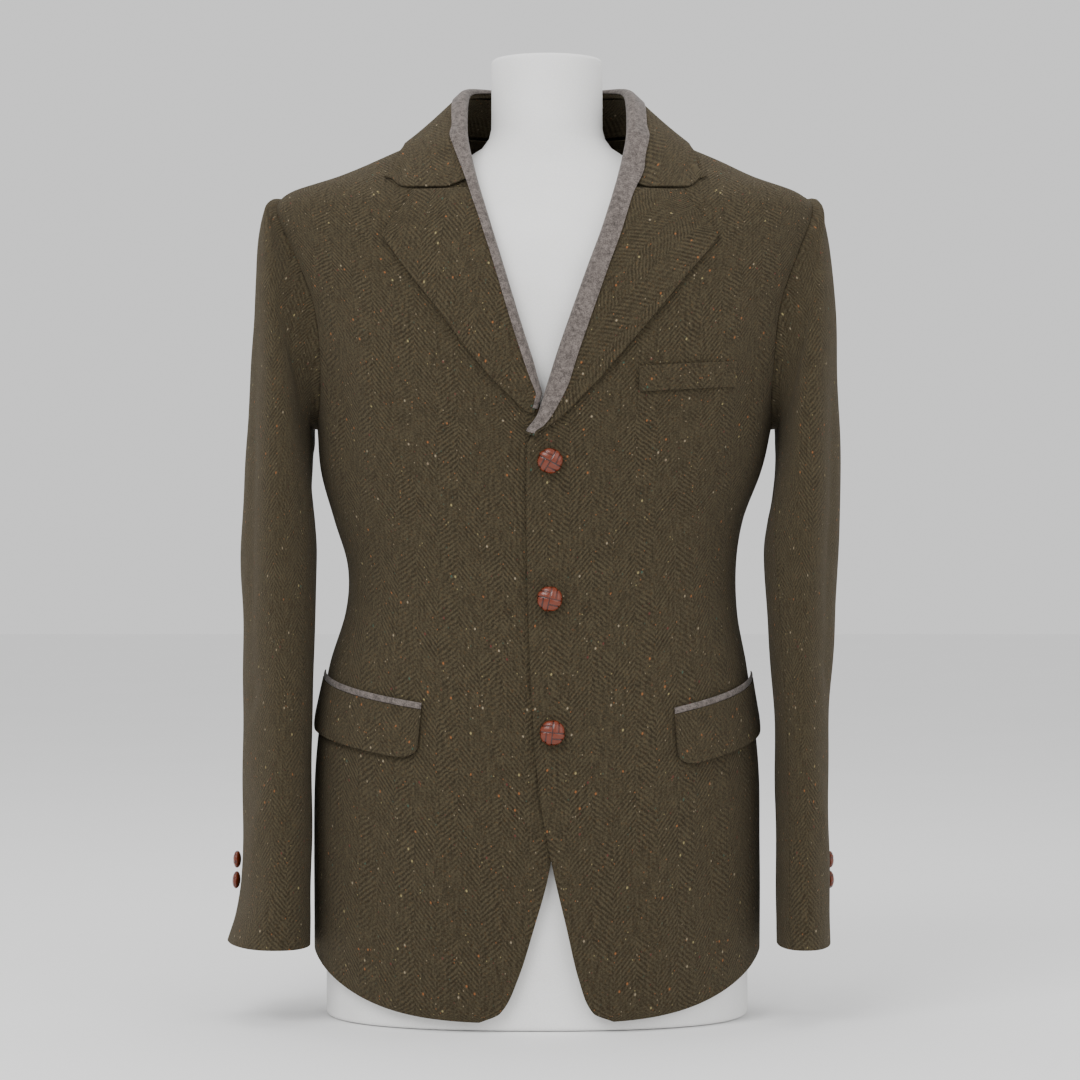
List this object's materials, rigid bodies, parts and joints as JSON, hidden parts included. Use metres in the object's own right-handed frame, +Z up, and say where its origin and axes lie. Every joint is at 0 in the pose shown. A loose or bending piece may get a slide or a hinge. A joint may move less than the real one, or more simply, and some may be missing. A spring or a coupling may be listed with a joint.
{
  "type": "tweed hacking jacket on a limbless dress form",
  "caption": "Olive-brown herringbone tweed hacking jacket with grey felt trim and leather knot buttons, on a plain white limbless dress form.",
  "frame": {"origin": "on the surface the dress form stands on, in the jacket's centre plane", "axes": "+Z up, -Y the front, +X the wearer's left"},
  "size_m": [0.529, 0.2816, 0.822],
  "materials": {
    "tweed": "brushed wool herringbone, matte",
    "felt": "pressed wool felt, matte",
    "leather": "polished woven knot",
    "jersey": "smooth white jersey over a stuffed form, matte"
  },
  "bodies": {
    "root": {"front_left": "tweed", "front_right": "tweed", "side_left": "tweed", "side_right": "tweed", "back_left": "tweed", "back_right": "tweed", "lapel_left": "tweed", "lapel_right": "tweed", "collar_fall": "tweed", "collar_stand": "tweed", "top_sleeve_left": "tweed", "top_sleeve_right": "tweed", "under_sleeve_left": "tweed", "under_sleeve_right": "tweed", "flap_left": "tweed", "flap_right": "tweed", "welt": "tweed", "trim_left": "felt", "trim_right": "felt", "jet_left": "felt", "jet_right": "felt", "button_top": "leather", "button_middle": "leather", "button_bottom": "leather", "cuff_button_left_1": "leather", "cuff_button_left_2": "leather", "cuff_button_right_1": "leather", "cuff_button_right_2": "leather", "form_body": "jersey"}
  },
  "joints": []
}
